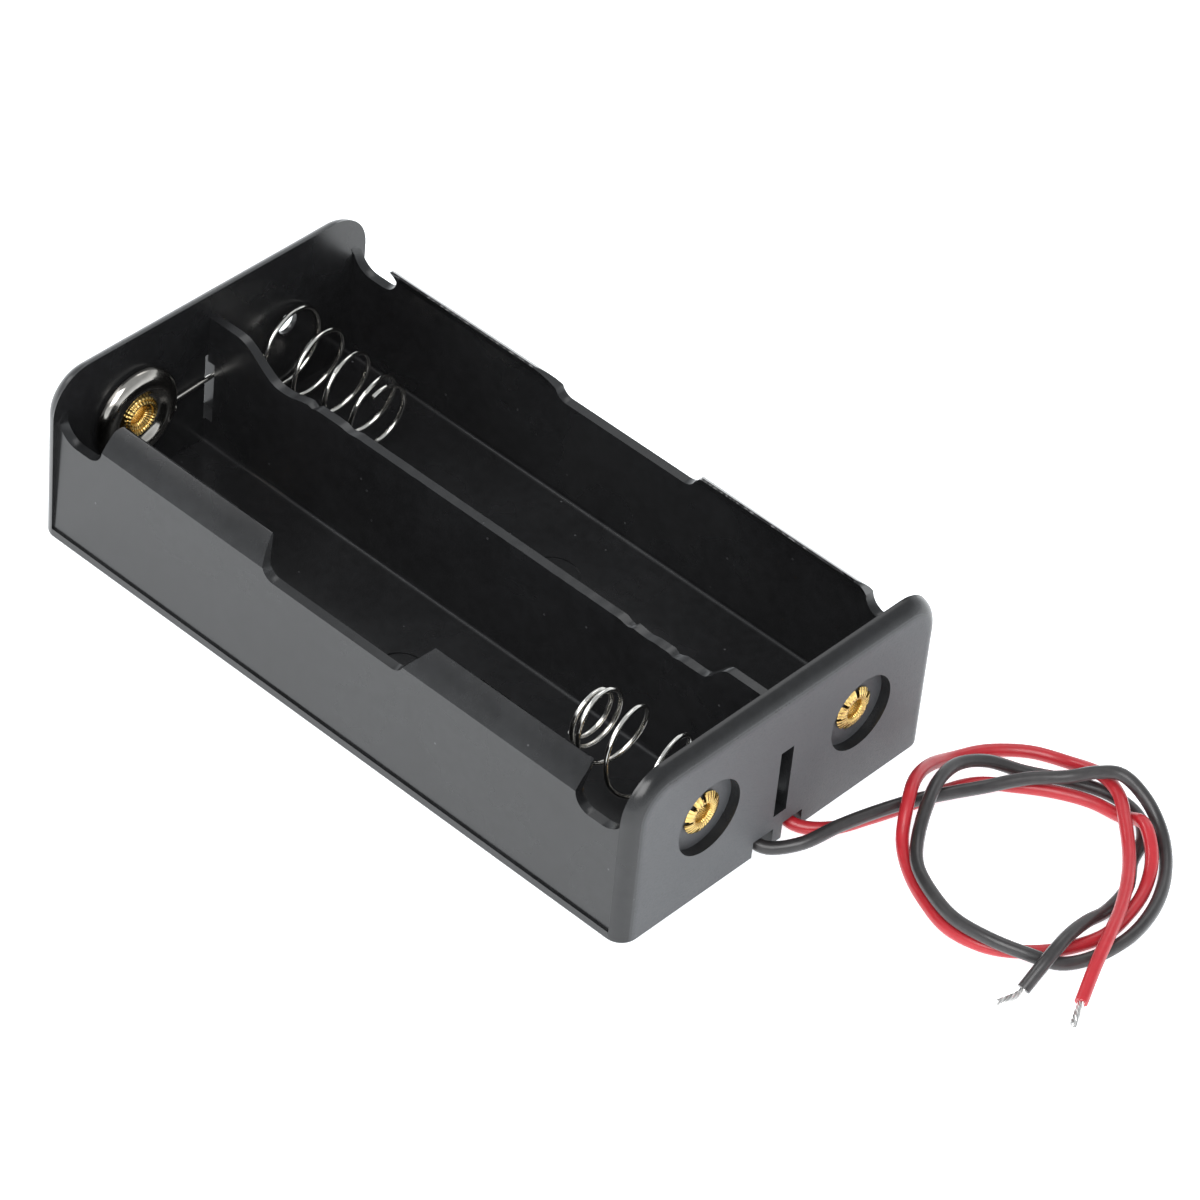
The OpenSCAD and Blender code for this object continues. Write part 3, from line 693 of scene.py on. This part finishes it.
# Fine grain: a colour share, a roughness and a height that change together
def makeGrainGroup():
    group = bpy.data.node_groups.new("fineGrain", "ShaderNodeTree")
    groupSockets(group, "INPUT", [
        ("Vector", "Vector", None), ("Size", "Float", 400.0), ("Cloud Size", "Float", 60.0),
        ("Roughness Low", "Float", 0.3), ("Roughness High", "Float", 0.4)])
    groupSockets(group, "OUTPUT", [
        ("Mask", "Float", None), ("Roughness", "Float", None), ("Height", "Float", None)])
    nodes, links = group.nodes, group.links
    source, result = nodes.new("NodeGroupInput"), nodes.new("NodeGroupOutput")
    fine = noiseNode(nodes, links, source.outputs["Vector"], source.outputs["Size"], 3, 0.6)
    cloud = noiseNode(nodes, links, source.outputs["Vector"], source.outputs["Cloud Size"], 4, 0.55)
    both = mathNode(nodes, links, "MULTIPLY_ADD", fine, 0.5, mathNode(nodes, links, "MULTIPLY", cloud, 0.5))
    mask = remap(nodes, links, both, 0.35, 0.65)
    links.new(mask, result.inputs["Mask"])
    links.new(remap(nodes, links, cloud, 0.35, 0.65, source.outputs["Roughness Low"],
                    source.outputs["Roughness High"]), result.inputs["Roughness"])
    links.new(fine, result.inputs["Height"])
    return group


# Scattered specks of dust: a mask of small irregular dots
def makeSpeckGroup():
    group = bpy.data.node_groups.new("dustSpecks", "ShaderNodeTree")
    groupSockets(group, "INPUT", [
        ("Vector", "Vector", None), ("Size", "Float", 700.0), ("Share", "Float", 0.1)])
    groupSockets(group, "OUTPUT", [("Mask", "Float", None)])
    nodes, links = group.nodes, group.links
    source, result = nodes.new("NodeGroupInput"), nodes.new("NodeGroupOutput")
    cells = nodes.new("ShaderNodeTexVoronoi")
    links.new(source.outputs["Vector"], cells.inputs["Vector"])
    links.new(source.outputs["Size"], cells.inputs["Scale"])
    dot = remap(nodes, links, cells.outputs["Distance"], 0.06, 0.16, 1.0, 0.0)
    split = nodes.new("ShaderNodeSeparateColor")
    links.new(cells.outputs["Color"], split.inputs["Color"])
    chosen = mathNode(nodes, links, "LESS_THAN", split.outputs["Red"], source.outputs["Share"])
    links.new(mathNode(nodes, links, "MULTIPLY", dot, chosen), result.inputs["Mask"])
    return group


grainGroup = makeGrainGroup()
speckGroup = makeSpeckGroup()


def useGroup(nodes, links, group, coordinates, **values):
    node = nodes.new("ShaderNodeGroup")
    node.node_tree = group
    links.new(coordinates, node.inputs["Vector"])
    for name, value in values.items():
        node.inputs[name].default_value = value
    return node


def useGrain(nodes, links, coordinates, size, cloudSize, low, high):
    grain = useGroup(nodes, links, grainGroup, coordinates, Size=size)
    grain.inputs["Cloud Size"].default_value = cloudSize
    grain.inputs["Roughness Low"].default_value = low
    grain.inputs["Roughness High"].default_value = high
    return grain


def objectCoordinates(nodes):
    return nodes.new("ShaderNodeTexCoord").outputs["Object"]


def bumpNode(nodes, links, height, strength, distance, normal=None):
    node = nodes.new("ShaderNodeBump")
    node.inputs["Strength"].default_value = strength
    node.inputs["Distance"].default_value = distance
    links.new(height, node.inputs["Height"])
    if normal:
        links.new(normal, node.inputs["Normal"])
    return node.outputs["Normal"]


casePlastic = {
    "dark": (0.009, 0.009, 0.0094, 1),
    "pale": (0.016, 0.0162, 0.0172, 1),
    "dust": (0.16, 0.16, 0.165, 1),
    "dustSize": 1150.0,
    "dustShare": 0.03,
    "dustStrength": 0.5,
    "grain": 900.0,
    "cloud": 70.0,
    "smooth": (0.2, 0.3),
    "pitSize": 4200.0,
    # End-face colours: a painted sheen, paler than the same plastic on the sides
    "endSheenDark": (0.024, 0.025, 0.027, 1),
    "endSheenPale": (0.066, 0.068, 0.073, 1),
    "endFrom": 37.2 * mm,
}


# Mask of the outer end faces: far from the middle and facing along X
def endFaces(nodes, links, place):
    facing = nodes.new("ShaderNodeSeparateXYZ")
    links.new(nodes.new("ShaderNodeNewGeometry").outputs["True Normal"], facing.inputs[0])
    spot = nodes.new("ShaderNodeSeparateXYZ")
    links.new(place, spot.inputs[0])
    alongX = remap(nodes, links, mathNode(nodes, links, "ABSOLUTE", facing.outputs[0]), 0.9, 0.995)
    farOut = mathNode(nodes, links, "GREATER_THAN",
                      mathNode(nodes, links, "ABSOLUTE", spot.outputs[0]), casePlastic["endFrom"])
    return mathNode(nodes, links, "MULTIPLY", alongX, farOut)


# Black styrene: polished sides, spark-textured end faces, a little dust; the end faces' colour is a painted
# sheen, much paler than the sides, with random darker specks
def makeCasePlastic():
    material, nodes, links, shader = newMaterial("caseBlackPlastic")
    place = objectCoordinates(nodes)
    grain = useGrain(nodes, links, place,
                     casePlastic["grain"], casePlastic["cloud"], *casePlastic["smooth"])
    specks = useGroup(nodes, links, speckGroup, place,
                      Size=casePlastic["dustSize"], Share=casePlastic["dustShare"])
    ends = endFaces(nodes, links, place)
    pits = noiseNode(nodes, links, place, casePlastic["pitSize"], 4, 0.7)
    colour = mixColours(nodes, links, grain.outputs["Mask"], casePlastic["dark"], casePlastic["pale"])
    # Painted sheen: the end faces get a paler speckled colour than the rest of the black plastic
    speckledSheen = mixColours(nodes, links, remap(nodes, links, pits, 0.33, 0.43),
                          casePlastic["endSheenDark"], casePlastic["endSheenPale"])
    colour = mixColours(nodes, links, ends, colour, speckledSheen)
    dusty = mathNode(nodes, links, "MULTIPLY", specks.outputs["Mask"], casePlastic["dustStrength"])
    colour = mixColours(nodes, links, dusty, colour, casePlastic["dust"])
    links.new(colour, shader.inputs["Base Color"])
    endRough = mathNode(nodes, links, "MULTIPLY", ends, remap(nodes, links, pits, 0.3, 0.7, 0.14, 0.34))
    rough = mathNode(nodes, links, "ADD", grain.outputs["Roughness"], endRough)
    links.new(rough, shader.inputs["Roughness"])
    smoothNormal = bumpNode(nodes, links, grain.outputs["Height"], 0.12, 0.00005)
    height = mathNode(nodes, links, "MULTIPLY", pits, ends)
    links.new(bumpNode(nodes, links, height, 0.7, 0.00006, smoothNormal), shader.inputs["Normal"])
    return material


def makeMetal(name, colour, dull, low, high, size=1500.0, tarnish=0.5):
    material, nodes, links, shader = newMaterial(name)
    place = objectCoordinates(nodes)
    grain = useGrain(nodes, links, place, size, 300.0, low, high)
    share = mathNode(nodes, links, "MULTIPLY", grain.outputs["Mask"], tarnish)
    links.new(mixColours(nodes, links, share, colour, dull), shader.inputs["Base Color"])
    shader.inputs["Metallic"].default_value = 1
    links.new(grain.outputs["Roughness"], shader.inputs["Roughness"])
    links.new(bumpNode(nodes, links, grain.outputs["Height"], 0.15, 0.00003), shader.inputs["Normal"])
    return material


brass = {"clean": (0.84, 0.6, 0.22, 1), "dull": (0.5, 0.32, 0.1, 1), "tarnish": 0.6, "ribs": 30.0}


# Brass with pressed ribs round each eyelet's funnel and petals
def makeBrass():
    material, nodes, links, shader = newMaterial("eyeletBrass")
    place = objectCoordinates(nodes)
    grain = useGrain(nodes, links, place, 1800.0, 500.0, 0.14, 0.32)
    share = mathNode(nodes, links, "MULTIPLY", grain.outputs["Mask"], brass["tarnish"])
    links.new(mixColours(nodes, links, share, brass["clean"], brass["dull"]), shader.inputs["Base Color"])
    shader.inputs["Metallic"].default_value = 1
    links.new(grain.outputs["Roughness"], shader.inputs["Roughness"])
    split = nodes.new("ShaderNodeSeparateXYZ")
    links.new(place, split.inputs[0])
    outward = mathNode(nodes, links, "ABSOLUTE", split.outputs[1])
    across = mathNode(nodes, links, "SUBTRACT", outward, contactY)
    up = mathNode(nodes, links, "SUBTRACT", split.outputs[2], contactZ)
    angle = mathNode(nodes, links, "ARCTAN2", up, across)
    wave = mathNode(nodes, links, "SINE", mathNode(nodes, links, "MULTIPLY", angle, brass["ribs"]))
    ribs = bumpNode(nodes, links, wave, 0.5, 0.00006)
    links.new(bumpNode(nodes, links, grain.outputs["Height"], 0.3, 0.00004, ribs), shader.inputs["Normal"])
    return material


def makeInsulation(name, colour, worn, low, high):
    material, nodes, links, shader = newMaterial(name)
    place = objectCoordinates(nodes)
    grain = useGrain(nodes, links, place, 1100.0, 160.0, low, high)
    links.new(mixColours(nodes, links, grain.outputs["Mask"], colour, worn), shader.inputs["Base Color"])
    links.new(grain.outputs["Roughness"], shader.inputs["Roughness"])
    shader.inputs["Coat Weight"].default_value = 0.2
    shader.inputs["Coat Roughness"].default_value = 0.15
    links.new(bumpNode(nodes, links, grain.outputs["Height"], 0.25, 0.00006), shader.inputs["Normal"])
    return material


materials = {
    "case": makeCasePlastic(),
    "spring": makeMetal("springNickel", (0.86, 0.84, 0.8, 1), (0.62, 0.6, 0.55, 1), 0.08, 0.2),
    "sheet": makeMetal("sheetNickel", (0.5, 0.475, 0.44, 1), (0.34, 0.32, 0.29, 1), 0.1, 0.22),
    "brass": makeBrass(),
    "strand": makeMetal("tinnedStrand", (0.72, 0.71, 0.7, 1), (0.45, 0.44, 0.42, 1), 0.25, 0.45),
    "solder": makeMetal("solderTin", (0.66, 0.66, 0.66, 1), (0.4, 0.39, 0.37, 1), 0.2, 0.5, 900.0, 0.8),
    "red": makeInsulation("redInsulation", (0.5, 0.02, 0.03, 1), (0.42, 0.014, 0.022, 1), 0.3, 0.45),
    "black": makeInsulation(
        "blackInsulation", (0.021, 0.019, 0.02, 1), (0.038, 0.035, 0.035, 1), 0.34, 0.5),
}


def dress(piece, material):
    piece.data.materials.clear()
    piece.data.materials.append(materials[material])


def dressNode(node, material):
    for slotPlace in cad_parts[node].material_slots:
        slotPlace.material = materials[material]


for piece, material in (
    (redPiece, "red"), (blackPiece, "black"), (redEnd, "strand"), (blackEnd, "strand"),
    (negativePiece, "spring"), (linkPiece, "spring"), (positiveCup, "sheet"), (linkCup, "sheet"),
    (casePiece, "case"),
):
    dress(piece, material)
for piece in eyelets:
    dress(piece, "brass")
for node in ("red_solder_joint", "black_solder_joint"):
    dressNode(node, "solder")
print("materials made")


# Floor and light

# Lights are (name, place, size, watts)
studio = {
    "floorGlow": 0.8, "low": 1.3, "high": 0.55, "lowFrom": 0.12, "highFrom": 0.55,
    "tint": (0.93, 0.97, 1, 1),
    "lights": (
        ("keyLight", (0.28, -0.42, 0.62), 0.5, 4.6),
        ("sideLight", (-0.55, -0.2, 0.4), 0.3, 1.6),
        ("rearLight", (-0.16, 0.47, 0.62), 0.35, 0.6),
    ),
}


def makeFloor():
    deselectAll()
    bpy.ops.mesh.primitive_plane_add(size=6, location=(0, 0, -0.05 * mm))
    floor = bpy.context.object
    floor.name = "floor"
    bpy.ops.object.transform_apply(location=True)
    material, nodes, links, shader = newMaterial("paleFloor")
    shader.inputs["Base Color"].default_value = (0.9, 0.9, 0.9, 1)
    shader.inputs["Roughness"].default_value = 0.8
    shader.inputs["Specular IOR Level"].default_value = 0.1
    shader.inputs["Emission Color"].default_value = studio["tint"]
    shader.inputs["Emission Strength"].default_value = studio["floorGlow"]
    floor.data.materials.append(material)


# Bright all round near the horizon, dimmer overhead
def makeSky():
    world = bpy.data.worlds.new("softStudio")
    world.use_nodes = True
    nodes, links = world.node_tree.nodes, world.node_tree.links
    background = nodes["Background"]
    split = nodes.new("ShaderNodeSeparateXYZ")
    links.new(nodes.new("ShaderNodeTexCoord").outputs["Generated"], split.inputs[0])
    strength = remap(nodes, links, split.outputs[2], studio["lowFrom"], studio["highFrom"],
                     studio["low"], studio["high"])
    background.inputs["Color"].default_value = studio["tint"]
    links.new(strength, background.inputs["Strength"])
    bpy.context.scene.world = world


def makeLights():
    for name, place, size, power in studio["lights"]:
        deselectAll()
        bpy.ops.object.light_add(type="AREA", location=place)
        light = bpy.context.object
        light.name = name
        light.data.size = size
        light.data.energy = power
        light.rotation_euler = (-Vector(place)).to_track_quat("-Z", "Y").to_euler()


makeFloor()
makeSky()
makeLights()
bpy.context.scene.view_settings.view_transform = "Standard"
print("studio lit")
